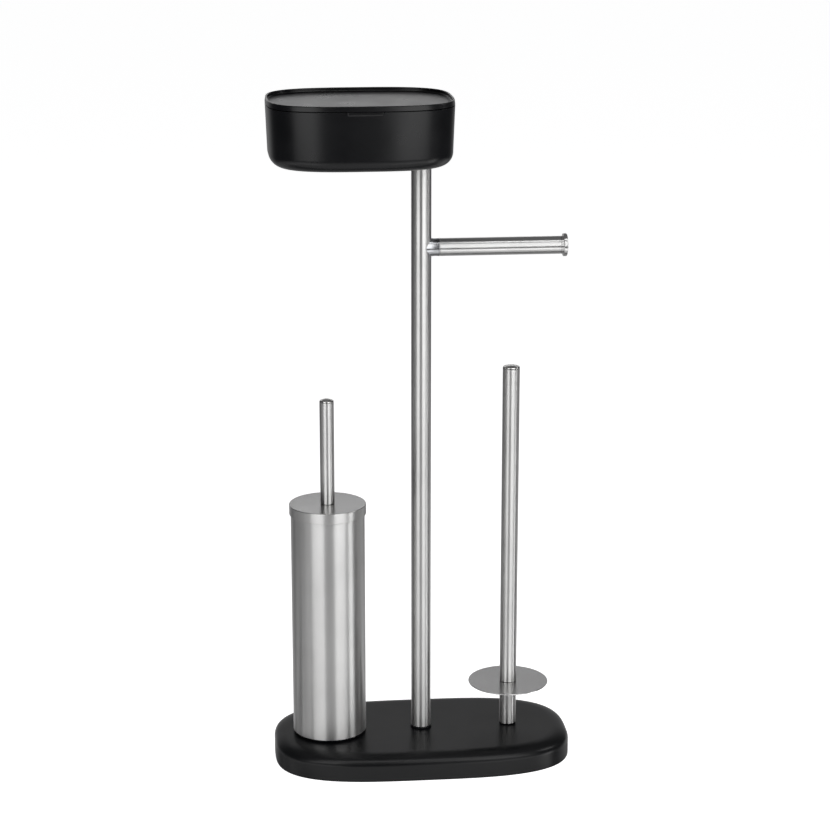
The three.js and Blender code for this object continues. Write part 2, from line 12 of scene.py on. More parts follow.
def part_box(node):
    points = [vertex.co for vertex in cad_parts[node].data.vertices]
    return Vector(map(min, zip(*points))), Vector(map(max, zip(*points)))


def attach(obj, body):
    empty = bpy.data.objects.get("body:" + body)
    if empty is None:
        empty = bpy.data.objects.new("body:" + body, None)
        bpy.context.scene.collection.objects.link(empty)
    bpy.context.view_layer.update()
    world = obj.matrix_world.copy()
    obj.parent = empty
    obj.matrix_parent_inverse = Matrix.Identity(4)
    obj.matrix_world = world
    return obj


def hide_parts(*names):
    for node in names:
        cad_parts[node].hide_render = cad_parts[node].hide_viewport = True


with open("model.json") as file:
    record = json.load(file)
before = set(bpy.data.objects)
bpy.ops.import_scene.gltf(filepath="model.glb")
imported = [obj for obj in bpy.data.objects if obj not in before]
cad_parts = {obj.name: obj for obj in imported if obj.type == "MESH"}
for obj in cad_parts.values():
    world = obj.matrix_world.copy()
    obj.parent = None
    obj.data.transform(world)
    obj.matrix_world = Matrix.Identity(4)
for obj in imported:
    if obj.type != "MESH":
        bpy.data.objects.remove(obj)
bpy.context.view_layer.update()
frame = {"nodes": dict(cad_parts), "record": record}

MM = 0.001
FULL_TURN = 2 * math.pi

# the two outlines and what the frame doesn't say about them
BASE_POWERS = (3.36, 2.93)
BOX_POWERS = (3.15, 3.26)
BASE_EDGE_IN = 18 * MM
BASE_EDGE_DOWN = 10 * MM
BASE_WALL = 2.8 * MM
BOX_HALF_DEPTH = 75.7 * MM
BOX_TAPER = 1.7 * MM
BOX_ROUND = 12.8 * MM
BOX_WALL = 2.5 * MM
BOX_FLOOR = 2.6 * MM
BOX_RIM_DROP = 5.65 * MM
LID_SEAM = 0.5 * MM
LID_LEAN = 0.5 * MM
LID_RIM = 1.95 * MM
TRAY_DEPTH = 3.9 * MM
TRAY_ROUND = 1.4 * MM
LIP_INSET = 3.1 * MM
LIP_WALL = 1.8 * MM
LID_FLOOR = 1.6 * MM
NOTCH_WIDTH = 37 * MM
NOTCH_HEIGHT = 3.4 * MM
NOTCH_DEPTH = 1.7 * MM
TUBE_WALL = 1 * MM
TUBE_EDGE = 0.2 * MM
HANDLE_WALL = 0.8 * MM
CAP_ROUND = 1.2 * MM
CAP_SKIRT = 3 * MM
HAIRLINE = 0.15 * MM
STUD_HOLE = 3.4 * MM
BOLT_HOLE = 4.3 * MM
SCREW_HOLE = 3.3 * MM

# the hinge, whose ears and knuckle are rooted in the two walls
KNUCKLE_RADIUS = 2.8 * MM
KNUCKLE_BORE = 1.5 * MM
KNUCKLE_EDGE = 0.3 * MM
EAR_LENGTH = 8 * MM
LID_KNUCKLE_HALF = 8 * MM
HINGE_ROOT = 1.2 * MM
HINGE_PIN = 1.2 * MM

# how finely the rounds are divided
OVAL_STEPS = 192
FINE_TURN = 128
TURN_STEPS = 96
SMALL_TURN = 48

# satin stainless steel, where it is darker and where it is lighter
STEEL_DARK = (0.61, 0.608, 0.602)
STEEL_LIGHT = (0.67, 0.668, 0.662)
RINGED_STEEL_LIGHT = (0.66, 0.658, 0.652)

# where the viewer stands and which way they look
CAMERA_AT = (-0.2295, -2.2269, 0.9641)
CAMERA_AIM = (0.09625, 0.96075, -0.2602)
CAMERA_LENS = 100


# ------------------------------------------------------------------ measuring the frame
class Measured:
    """Where a CAD node is: its middle, its half sizes and its lowest and highest corner."""

    def __init__(self, node):
        self.low, self.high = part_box(node)
        self.middle = (self.low + self.high) / 2
        self.half = (self.high - self.low) / 2


# ------------------------------------------------------------------ shaping
def arc(middle_across, middle_up, radius, start, end, steps=8, rise=None):
    """Points of a round, as (across, up) pairs, between two angles in degrees; rise makes it an ellipse."""
    points = []
    for i in range(steps + 1):
        angle = math.radians(start + (end - start) * i / steps)
        across = middle_across + radius * math.cos(angle)
        points.append((across, middle_up + (rise or radius) * math.sin(angle)))
    return points


def inset_arc(middle_inset, middle_up, radius, start, end, steps=10, rise=None):
    """The same for an oval's profile, where the inset grows inwards."""
    points = arc(middle_inset, middle_up, radius, start, end, steps, rise)
    return [(2 * middle_inset - across, up) for across, up in points]


def spun(profile, steps):
    """The (radius, up) profile spun once round Z."""
    bm = bmesh.new()
    corners = [bm.verts.new((radius, 0, up)) for radius, up in profile]
    edges = [bm.edges.new(pair) for pair in zip(corners, corners[1:])]
    bmesh.ops.spin(
        bm, geom=corners + edges, cent=(0, 0, 0), axis=(0, 0, 1),
        angle=FULL_TURN, steps=steps, use_merge=True,
    )
    return bm


def turned(profile, middle, axis="Z", steps=TURN_STEPS):
    """A piece turned on a lathe: the (radius, along) profile is spun once round the axis through middle."""
    bm = spun(profile, steps)
    bmesh.ops.remove_doubles(bm, verts=bm.verts, dist=1e-7)
    bmesh.ops.recalc_face_normals(bm, faces=bm.faces)
    if axis == "X":
        bmesh.ops.rotate(bm, verts=bm.verts, cent=(0, 0, 0), matrix=Matrix.Rotation(math.pi / 2, 3, "Y"))
    bmesh.ops.translate(bm, verts=bm.verts, vec=middle)
    return bm


def closed(profile):
    return profile + [profile[0]]


def oval_point(half_x, half_y, powers, turn):
    across, along = math.cos(turn), math.sin(turn)
    x = half_x * math.copysign(abs(across) ** (2 / powers[0]), across)
    y = half_y * math.copysign(abs(along) ** (2 / powers[1]), along)
    return x, y


def oval_moulding(measured, powers, profile):
    """A moulding with a superellipse outline: its (inset, up) profile, spun and drawn out."""
    reach = measured.half.x
    bm = spun([(reach - inset, up) for inset, up in profile], OVAL_STEPS)
    for v in bm.verts:
        inset = reach - math.hypot(v.co.x, v.co.y)
        turn = math.atan2(v.co.y, v.co.x)
        x, y = oval_point(reach - inset, measured.half.y - inset, powers, turn)
        v.co = (measured.middle.x + x, measured.middle.y + y, v.co.z)
    bmesh.ops.holes_fill(bm, edges=[e for e in bm.edges if e.is_boundary])
    bmesh.ops.recalc_face_normals(bm, faces=bm.faces)
    return bm


def rounded_block(low, high, radius, segments=3):
    """A block from one corner to the other with rounded edges."""
    low, high = Vector(low), Vector(high)
    bm = bmesh.new()
    bmesh.ops.create_cube(bm, size=1)
    bmesh.ops.scale(bm, verts=bm.verts, vec=high - low)
    bmesh.ops.translate(bm, verts=bm.verts, vec=(low + high) / 2)
    bmesh.ops.bevel(
        bm, geom=list(bm.edges), offset=radius, segments=segments, profile=0.5, affect="EDGES", material=-1,
    )
    return bm


def add_to(bm, other):
    """Puts another bmesh's shape into this one as a shell of its own."""
    carrier = bpy.data.meshes.new("carrier")
    other.to_mesh(carrier)
    other.free()
    bm.from_mesh(carrier)
    bpy.data.meshes.remove(carrier)
    return bm


def shaded(mesh, sharp_angle=35):
    mesh.shade_smooth()
    mesh.set_sharp_from_angle(angle=math.radians(sharp_angle))


def finished(name, bm, finish, body, slot, *replaced):
    """Makes the bmesh a piece with its finish, riding on its body, in place of the CAD nodes named."""
    mesh = bpy.data.meshes.new(name)
    bm.to_mesh(mesh)
    bm.free()
    shaded(mesh)
    piece = bpy.data.objects.new(name, mesh)
    bpy.context.scene.collection.objects.link(piece)
    mesh.materials.append(finish)
    weighted = piece.modifiers.new("even_shading", "WEIGHTED_NORMAL")
    weighted.keep_sharp = True
    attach(piece, body)
    if replaced:
        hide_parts(*replaced)
    return piece


def carved(bm, cutter):
    """The bmesh with the cutter's shape taken out of it."""
    shapes = []
    for source in (bm, cutter):
        mesh = bpy.data.meshes.new("carving")
        source.to_mesh(mesh)
        source.free()
        shape = bpy.data.objects.new("carving", mesh)
        bpy.context.scene.collection.objects.link(shape)
        shapes.append(shape)
    work, tool = shapes
    cut = work.modifiers.new("cut", "BOOLEAN")
    cut.operation = "DIFFERENCE"
    cut.solver = "EXACT"
    cut.object = tool
    bpy.context.view_layer.update()
    result = bpy.data.meshes.new_from_object(work.evaluated_get(bpy.context.evaluated_depsgraph_get()))
    carved_bm = bmesh.new()
    carved_bm.from_mesh(result)
    for shape in shapes:
        bpy.data.meshes.remove(shape.data)
    bpy.data.meshes.remove(result)
    return carved_bm


# ------------------------------------------------------------------ finishes
def new_finish(name):
    finish = bpy.data.materials.new(name)
    finish.use_nodes = True
    nodes = finish.node_tree.nodes
    links = finish.node_tree.links
    shader = nodes["Principled BSDF"]
    return finish, nodes, links, shader


def stretched_noise(nodes, links, scale, noise_scale, detail=2.0, middle=(0, 0, 0)):
    """Noise on the object's own coordinates, drawn out by scale, about a middle."""
    coords = nodes.new("ShaderNodeTexCoord")
    mapping = nodes.new("ShaderNodeMapping")
    mapping.inputs["Scale"].default_value = scale
    mapping.inputs["Location"].default_value = [-m * s for m, s in zip(middle, scale)]
    noise = nodes.new("ShaderNodeTexNoise")
    noise.inputs["Scale"].default_value = noise_scale
    noise.inputs["Detail"].default_value = detail
    links.new(coords.outputs["Object"], mapping.inputs["Vector"])
    links.new(mapping.outputs["Vector"], noise.inputs["Vector"])
    return noise.outputs["Fac"]


def ranged(nodes, links, source, low, high, from_low=0.3, from_high=0.7):
    spread = nodes.new("ShaderNodeMapRange")
    spread.inputs["From Min"].default_value = from_low
    spread.inputs["From Max"].default_value = from_high
    spread.inputs["To Min"].default_value = low
    spread.inputs["To Max"].default_value = high
    links.new(source, spread.inputs["Value"])
    return spread.outputs["Result"]


def bumped(nodes, links, shader, source, strength, distance):
    bump = nodes.new("ShaderNodeBump")
    bump.inputs["Strength"].default_value = strength
    bump.inputs["Distance"].default_value = distance
    links.new(source, bump.inputs["Height"])
    links.new(bump.outputs["Normal"], shader.inputs["Normal"])


def tinted(nodes, links, shader, source, dark, light):
    ramp = nodes.new("ShaderNodeValToRGB")
    ramp.color_ramp.elements[0].position = 0.3
    ramp.color_ramp.elements[0].color = (*dark, 1)
    ramp.color_ramp.elements[1].position = 0.7
    ramp.color_ramp.elements[1].color = (*light, 1)
    links.new(source, ramp.inputs["Fac"])
    links.new(ramp.outputs["Color"], shader.inputs["Base Color"])


def brushed_steel(name, axis, middle=(0, 0, 0), roughness=(0.37, 0.43)):
    """Satin stainless steel with fine grooves round the axis, which draw its highlights out along it."""
    finish, nodes, links, shader = new_finish(name)
    shader.inputs["Metallic"].default_value = 1
    shader.inputs["Anisotropic"].default_value = 1
    shader.inputs["Anisotropic Rotation"].default_value = 0.25
    tangent = nodes.new("ShaderNodeTangent")
    tangent.direction_type = "RADIAL"
    tangent.axis = axis
    links.new(tangent.outputs["Tangent"], shader.inputs["Tangent"])
    along = {"X": (1, 0.012, 0.012), "Z": (0.012, 0.012, 1)}[axis]
    grooves = stretched_noise(nodes, links, along, 3800, 3.0, middle)
    drift = stretched_noise(nodes, links, (1, 1, 1), 22, 2.0)
    tinted(nodes, links, shader, drift, STEEL_DARK, STEEL_LIGHT)
    links.new(ranged(nodes, links, grooves, *roughness), shader.inputs["Roughness"])
    bumped(nodes, links, shader, grooves, 0.1, 0.02 * MM)
    return finish


def ring_brushed_steel(name, middle):
    """Satin steel with fine circles about a middle, as on a lid or a disc."""
    finish, nodes, links, shader = new_finish(name)
    shader.inputs["Metallic"].default_value = 1
    shader.inputs["Roughness"].default_value = 0.3
    coords = nodes.new("ShaderNodeTexCoord")
    mapping = nodes.new("ShaderNodeMapping")
    mapping.inputs["Location"].default_value = (-middle.x, -middle.y, -middle.z)
    rings = nodes.new("ShaderNodeTexWave")
    rings.wave_type = "RINGS"
    rings.rings_direction = "Z"
    rings.inputs["Scale"].default_value = 420
    rings.inputs["Distortion"].default_value = 1.5
    rings.inputs["Detail"].default_value = 3
    rings.inputs["Detail Scale"].default_value = 2
    links.new(coords.outputs["Object"], mapping.inputs["Vector"])
    links.new(mapping.outputs["Vector"], rings.inputs["Vector"])
    drift = stretched_noise(nodes, links, (1, 1, 1), 18, 2.0)
    tinted(nodes, links, shader, drift, STEEL_DARK, RINGED_STEEL_LIGHT)
    links.new(ranged(nodes, links, rings.outputs["Fac"], 0.2, 0.26, 0, 1), shader.inputs["Roughness"])
    bumped(nodes, links, shader, rings.outputs["Fac"], 0.05, 0.01 * MM)
    return finish


def bright_steel(name, tone, roughness):
    """Polished steel with faint smears in its gloss."""
    finish, nodes, links, shader = new_finish(name)
    shader.inputs["Metallic"].default_value = 1
    smears = stretched_noise(nodes, links, (1, 1, 1), 160, 3.0)
    tinted(nodes, links, shader, smears, tone, [c * 1.06 for c in tone])
    links.new(ranged(nodes, links, smears, *roughness), shader.inputs["Roughness"])
    return finish


def zinc_steel():
    finish, nodes, links, shader = new_finish("zinc_plated_fixings")
    shader.inputs["Metallic"].default_value = 1
    spangle = stretched_noise(nodes, links, (1, 1, 1), 700, 4.0)
    tinted(nodes, links, shader, spangle, (0.46, 0.475, 0.49), (0.6, 0.61, 0.62))
    links.new(ranged(nodes, links, spangle, 0.32, 0.5), shader.inputs["Roughness"])
    bumped(nodes, links, shader, spangle, 0.1, 0.02 * MM)
    return finish


def moulded_plastic(name, dark, light, roughness, grain=0.05):
    """Moulded plastic with a fine etched grain and a slow drift in its gloss."""
    finish, nodes, links, shader = new_finish(name)
    shader.inputs["IOR"].default_value = 1.34
    etch = stretched_noise(nodes, links, (1, 1, 1), 2600, 2.0)
    drift = stretched_noise(nodes, links, (1, 1, 1), 30, 3.0)
    tinted(nodes, links, shader, drift, dark, light)
    links.new(ranged(nodes, links, drift, *roughness), shader.inputs["Roughness"])
    bumped(nodes, links, shader, etch, grain, 0.05 * MM)
    return finish


def cast_iron():
    finish, nodes, links, shader = new_finish("raw_cast_weight")
    shader.inputs["Metallic"].default_value = 0.6
    sand = stretched_noise(nodes, links, (1, 1, 1), 420, 6.0)
    tinted(nodes, links, shader, sand, (0.04, 0.038, 0.037), (0.11, 0.105, 0.1))
    links.new(ranged(nodes, links, sand, 0.65, 0.9), shader.inputs["Roughness"])
    bumped(nodes, links, shader, sand, 0.5, 0.3 * MM)
    return finish


def bristle_nylon():
    finish, nodes, links, shader = new_finish("bristle_nylon")
    shader.inputs["IOR"].default_value = 1.53
    shader.inputs["Subsurface Weight"].default_value = 0.05
    strands = stretched_noise(nodes, links, (1, 1, 1), 900, 2.0)
    tinted(nodes, links, shader, strands, (0.02, 0.021, 0.023), (0.055, 0.056, 0.06))
    links.new(ranged(nodes, links, strands, 0.35, 0.55), shader.inputs["Roughness"])
    return finish


black_plastic = moulded_plastic(
    "satin_black_plastic", (0.0026, 0.0028, 0.0033), (0.0038, 0.004, 0.0045), (0.28, 0.33),
)
box_plastic = moulded_plastic(
    "satin_box_plastic", (0.0012, 0.0013, 0.0017), (0.002, 0.0021, 0.0026), (0.27, 0.31),
)
liner_plastic = moulded_plastic(
    "grey_liner_plastic", (0.028, 0.029, 0.031), (0.036, 0.037, 0.04), (0.5, 0.6),
)
foot_rubber = moulded_plastic(
    "foot_rubber", (0.012, 0.012, 0.012), (0.022, 0.022, 0.022), (0.75, 0.9), grain=0.25,
)
upright_steel = brushed_steel("brushed_upright_steel", "Z")
bright_collar = bright_steel("bright_collar_steel", (0.42, 0.425, 0.44), (0.2, 0.28))
polished_steel = bright_steel("polished_cap_steel", (0.6, 0.595, 0.585), (0.16, 0.22))
zinc = zinc_steel()
weight_iron = cast_iron()
nylon = bristle_nylon()


# ------------------------------------------------------------------ base
def make_base():
    cover = Measured("base_cover")
    shoulder = cover.high.z - BASE_EDGE_DOWN
    lip = 0.5 * MM
    inner_in, inner_down = BASE_EDGE_IN - BASE_WALL, BASE_EDGE_DOWN - BASE_WALL
    profile = [
        *inset_arc(BASE_EDGE_IN, shoulder, inner_in, 90, 0, rise=inner_down),
        (BASE_WALL, cover.low.z + lip),
        (BASE_WALL - lip, cover.low.z),
        *inset_arc(lip, cover.low.z + lip, lip, -90, 0, 4),
        *inset_arc(BASE_EDGE_IN, shoulder, BASE_EDGE_IN, 0, 90, 28, BASE_EDGE_DOWN),
    ]
    shell = oval_moulding(cover, BASE_POWERS, profile)
    finished("oval_base_cover", shell, black_plastic, "stand", "black_plastic", "base_cover")


def make_foot_pads():
    for number in range(1, 5):
        pad = Measured(f"foot_pad_{number}")
        edge = 0.4 * MM
        radius = pad.half.x
        profile = [
            (0, pad.low.z), *arc(radius - edge, pad.low.z + edge, edge, -90, 0, 4),
            *arc(radius - edge, pad.high.z - edge, edge, 0, 90, 4), (0, pad.high.z),
        ]
        middle = (pad.middle.x, pad.middle.y, 0)
        shape = turned(profile, middle, steps=SMALL_TURN)
        finished(f"rubber_foot_{number}", shape, foot_rubber, "stand", "rubber", f"foot_pad_{number}")


# ------------------------------------------------------------------ tubes, rings and discs
def tube_profile(radius, wall, low, high):
    return closed([
        (radius - wall, low), (radius - TUBE_EDGE, low), (radius, low + TUBE_EDGE),
        (radius, high - TUBE_EDGE), (radius - TUBE_EDGE, high), (radius - wall, high),
    ])


def make_upright_tube(name, node, body="stand", wall=TUBE_WALL):
    tube = Measured(node)
    middle = (tube.middle.x, tube.middle.y, 0)
    profile = tube_profile(tube.half.x, wall, tube.low.z, tube.high.z)
    finished(name, turned(profile, middle), upright_steel, body, "brushed_steel", node)


def make_seat_ring(name, node):
    ring = Measured(node)
    edge = min(0.5 * MM, ring.half.z * 0.8)
    radius = ring.half.x
    profile = closed([
        (BOLT_HOLE, ring.low.z), (radius, ring.low.z),
        *arc(radius - edge, ring.high.z - edge, edge, 0, 90, 5), (BOLT_HOLE, ring.high.z),
    ])
    middle = (ring.middle.x, ring.middle.y, 0)
    shape = turned(profile, middle, steps=SMALL_TURN)
    finished(name, shape, black_plastic, "stand", "black_plastic", node)


def dome_profile(radius, seat, top, crown, edge_round):
    """The head of a tube cap: a short straight side, a rolled edge and a shallow dome."""
    shoulder = top - crown
    rise = crown - edge_round
    flat = radius - edge_round
    steps = 12
    dome = []
    for i in range(1, steps + 1):
        share = 1 - i / steps
        dome.append((flat * share, top - rise * share ** 2))
    slope = math.degrees(math.atan(2 * rise / flat))
    return [(radius, seat), (radius, shoulder), *arc(flat, shoulder, edge_round, 0, 90 - slope, 6), *dome]


def make_tube_cap(name, node, bore, crown, body="stand"):
    cap = Measured(node)
    seat = cap.high.z - CAP_SKIRT
    plug = bore - 0.3 * MM
    profile = [(0, cap.low.z), (plug, cap.low.z), (plug, seat)]
    profile += dome_profile(cap.half.x, seat, cap.high.z, crown, CAP_ROUND)
    middle = (cap.middle.x, cap.middle.y, 0)
    finished(name, turned(profile, middle), polished_steel, body, "brushed_steel", node)


def make_column():
    make_upright_tube("column_tube_steel", "column_tube")
    make_seat_ring("column_seat_ring", "column_foot_ring")


def make_spare_post():
    make_upright_tube("spare_post_lower_steel", "spare_post_lower_tube")
    make_upright_tube("spare_post_upper_steel", "spare_post_upper_tube")
    make_seat_ring("spare_post_seat_ring", "spare_post_ring")
    make_tube_cap("spare_post_domed_cap", "spare_post_cap", 7.6 * MM, 2.5 * MM)
    disc = Measured("spare_disc")
    edge = 0.35 * MM
    radius = disc.half.x
    profile = closed([
        (STUD_HOLE, disc.low.z), *arc(radius - edge, disc.low.z + edge, edge, -90, 0, 4),
        *arc(radius - edge, disc.high.z - edge, edge, 0, 90, 4), (STUD_HOLE, disc.high.z),
    ])
    middle = (disc.middle.x, disc.middle.y, 0)
    top_middle = Vector((disc.middle.x, disc.middle.y, disc.high.z))
    finish = ring_brushed_steel("ring_brushed_disc_steel", top_middle)
    shape = turned(profile, middle, steps=FINE_TURN)
    finished("spare_roll_disc", shape, finish, "stand", "brushed_steel", "spare_disc")


# ------------------------------------------------------------------ roll arm
def make_roll_arm():
    tube = Measured("arm_tube")
    collar = Measured("arm_collar")
    flange = Measured("arm_end_flange")
    column = Measured("column_tube")
    middle = Vector((0, tube.middle.y, tube.middle.z))
    arm_steel = brushed_steel("brushed_arm_steel", "X", middle)
    profile = tube_profile(tube.half.y, TUBE_WALL, tube.low.x, tube.high.x)
    finished("roll_arm_tube", turned(profile, middle, "X"), arm_steel, "stand", "brushed_steel", "arm_tube")

    radius = flange.half.y
    neck = tube.half.y
    plug = neck - 1.3 * MM
    gap = 0.3 * MM
    face = flange.high.x - 3.7 * MM
    seat = tube.high.x + gap
    edge = 1.1 * MM
    profile = [
        (0, flange.low.x), (plug, flange.low.x), (plug, seat), (neck - HAIRLINE, seat),
        (neck, seat + HAIRLINE), (neck, face - gap), (neck + gap, face),
        *arc(radius - edge / 2, face + edge / 2, edge / 2, -90, 0, 5),
        *arc(radius - edge, flange.high.x - edge, edge, 0, 90, 8), (0, flange.high.x),
    ]
    shape = turned(profile, middle, "X")
    finished("roll_arm_end_flange", shape, arm_steel, "stand", "brushed_steel", "arm_end_flange")

    sleeve = collar.half.y
    start, end = column.middle.x, collar.high.x
    waist = 0.25 * MM
    edge = 0.5 * MM
    steps = 14
    outside = []
    for i in range(steps + 1):
        share = i / steps
        outside.append((sleeve - waist * math.sin(math.pi * share), start + (end - edge - start) * share))
    profile = closed([
        (STUD_HOLE, start), *outside, *arc(sleeve - edge, end - edge, edge, 0, 90, 5), (STUD_HOLE, end),
    ])
    bm = turned(profile, middle, "X")
    saddle_radius = column.half.x + 0.05 * MM
    reach = end - column.middle.x
    for v in bm.verts:
        across = min(abs(v.co.y - column.middle.y), saddle_radius)
        saddle = math.sqrt(saddle_radius ** 2 - across ** 2)
        share = (v.co.x - column.middle.x) / reach
        v.co.x = column.middle.x + saddle + (reach - saddle) * share
    finished("roll_arm_saddle_collar", bm, bright_collar, "stand", "bright_steel", "arm_collar")


# ------------------------------------------------------------------ lidded box
def make_box():
    body = Measured("box_body")
    lid = Measured("lid_shell")
    outline = Measured("box_body")
    hinge = Measured("hinge_pin")
    # the hinge ears stand out behind, so the outline's depth is counted from its front
    outline.middle.y = body.low.y + BOX_HALF_DEPTH
    outline.half.y = BOX_HALF_DEPTH
    rim = lid.high.z - BOX_RIM_DROP
    floor = body.low.z + BOX_FLOOR
    edge = 0.35 * MM
    outer = BOX_TAPER + BOX_ROUND
    inner_round = BOX_ROUND - BOX_WALL
    profile = [
        *inset_arc(outer, body.low.z + BOX_ROUND, BOX_ROUND, -90, 0, 16),
        *inset_arc(edge, rim - edge, edge, 0, 90, 4),
        (BOX_WALL - edge, rim), (BOX_WALL, rim - edge),
        *inset_arc(outer, floor + inner_round, inner_round, 0, -90, 12),
    ]
    shell = oval_moulding(outline, BOX_POWERS, profile)
    front = outline.middle.y - BOX_HALF_DEPTH
    shell = carved(shell, notch_cutter(outline.middle.x, front, rim))
    root = outline.middle.y + BOX_HALF_DEPTH - HINGE_ROOT
    for start in (hinge.low.x, hinge.high.x - EAR_LENGTH):
        add_to(shell, knuckle(start, start + EAR_LENGTH, hinge.middle))
        add_to(shell, rounded_block(
            (start, root, hinge.middle.z - KNUCKLE_RADIUS),
            (start + EAR_LENGTH, hinge.middle.y, hinge.middle.z - 0.2 * MM), KNUCKLE_EDGE,
        ))
    finished("wipes_box", shell, box_plastic, "stand", "black_plastic", "box_body")
    edge = 0.3 * MM
    profile = [
        (0, hinge.low.x), (HINGE_PIN - edge, hinge.low.x), (HINGE_PIN, hinge.low.x + edge),
        (HINGE_PIN, hinge.high.x - edge), (HINGE_PIN - edge, hinge.high.x), (0, hinge.high.x),
    ]
    pin = turned(profile, (0, hinge.middle.y, hinge.middle.z), "X", SMALL_TURN)
    finished("lid_hinge_pin", pin, zinc, "stand", "zinc_steel", "hinge_pin")
    return outline, rim


def knuckle(start, end, middle):
    """A bored knuckle about the hinge's line, from start to end along X."""
    shoulder = KNUCKLE_RADIUS - KNUCKLE_EDGE
    profile = closed([
        (KNUCKLE_BORE, start), (shoulder, start), (KNUCKLE_RADIUS, start + KNUCKLE_EDGE),
        (KNUCKLE_RADIUS, end - KNUCKLE_EDGE), (shoulder, end), (KNUCKLE_BORE, end),
    ])
    return turned(profile, (0, middle.y, middle.z), "X", SMALL_TURN)


def notch_cutter(middle_x, front, rim):
    """A roller that hollows the finger notch out of the front wall, deepest at the rim."""
    above = 3 * MM
    ahead = ((NOTCH_HEIGHT + above) ** 2 - above ** 2 - NOTCH_DEPTH ** 2) / (2 * NOTCH_DEPTH)
    radius = math.hypot(NOTCH_DEPTH + ahead, above)
    bm = bmesh.new()
    bmesh.ops.create_cone(
        bm, cap_ends=True, segments=160, radius1=radius, radius2=radius, depth=NOTCH_WIDTH,
    )
    ends = [e for e in bm.edges if abs(e.verts[0].co.z - e.verts[1].co.z) < 1e-6]
    bmesh.ops.bevel(bm, geom=ends, offset=3 * MM, segments=8, profile=0.5, affect="EDGES", material=-1)
    bmesh.ops.rotate(bm, verts=bm.verts, cent=(0, 0, 0), matrix=Matrix.Rotation(math.pi / 2, 3, "Y"))
    bmesh.ops.translate(bm, verts=bm.verts, vec=(middle_x, front - ahead, rim + above))
    return bm


def make_lid(outline, rim):
    lid = Measured("lid_shell")
    hinge = Measured("hinge_pin")
    low = rim + LID_SEAM
    tray = lid.high.z - TRAY_DEPTH
    underside = tray - LID_FLOOR
    lip_low = lid.low.z
    edge = 0.4 * MM
    crest = LID_RIM / 2
    lip_inner = LIP_INSET + LIP_WALL
    profile = [
        (lip_inner, underside), (lip_inner, lip_low + edge), (lip_inner - edge, lip_low),
        (LIP_INSET + edge, lip_low), (LIP_INSET, lip_low + edge), (LIP_INSET, low),
        (edge, low), (0, low + edge),
        *inset_arc(LID_LEAN + crest, lid.high.z - crest, crest, 0, 180, 12),
        *tray_fillet(tray),
    ]
    shell = oval_moulding(outline, BOX_POWERS, profile)
    start, end = outline.middle.x - LID_KNUCKLE_HALF, outline.middle.x + LID_KNUCKLE_HALF
    add_to(shell, knuckle(start, end, hinge.middle))
    add_to(shell, rounded_block(
        (start, outline.middle.y + outline.half.y - HINGE_ROOT, low + 0.1 * MM),
        (end, hinge.middle.y, hinge.middle.z + KNUCKLE_RADIUS), KNUCKLE_EDGE,
    ))
    finished("tray_lid", shell, box_plastic, "lid", "black_plastic", "lid_shell")


def tray_fillet(tray):
    """The hollow corner where the rim meets the tray."""
    middle_inset = LID_LEAN + LID_RIM + TRAY_ROUND
    return [(middle_inset - across, up) for across, up in arc(0, tray + TRAY_ROUND, TRAY_ROUND, 0, -90, 8)]


def make_box_fixing():
    plate = Measured("box_clamp_plate")
    screw = Measured("box_screw")
    middle = (plate.middle.x, plate.middle.y, 0)
    edge = 0.6 * MM
    radius = plate.half.x
    profile = closed([
        (SCREW_HOLE, plate.low.z), (radius, plate.low.z),
        *arc(radius - edge, plate.high.z - edge, edge, 0, 90, 5), (SCREW_HOLE, plate.high.z),
    ])
    finished("box_clamp_disc", turned(profile, middle), zinc, "stand", "zinc_steel", "box_clamp_plate")
    head = screw.half.x
    seat = screw.high.z - 4 * MM
    shank = 2.9 * MM
    crown = 1.6 * MM
    rim = 0.3 * MM
    profile = [
        (0, screw.low.z), (shank - 0.6 * MM, screw.low.z + 1 * MM), (shank, screw.low.z + 2 * MM),
        (shank, seat), (head - rim, seat), (head, seat + rim),
        *arc(head - crown, screw.high.z - crown, crown, 0, 90, 8), (0, screw.high.z),
    ]
    bm = turned(profile, middle, steps=SMALL_TURN)
    socket = bmesh.new()
    across = 2.5 * MM
    bmesh.ops.create_cone(
        socket, cap_ends=True, segments=6, radius1=across, radius2=across, depth=4 * MM,
    )
    socket_at = (screw.middle.x, screw.middle.y, screw.high.z - 0.4 * MM)
    bmesh.ops.translate(socket, verts=socket.verts, vec=socket_at)
    finished("box_fixing_screw", carved(bm, socket), zinc, "stand", "zinc_steel", "box_screw")


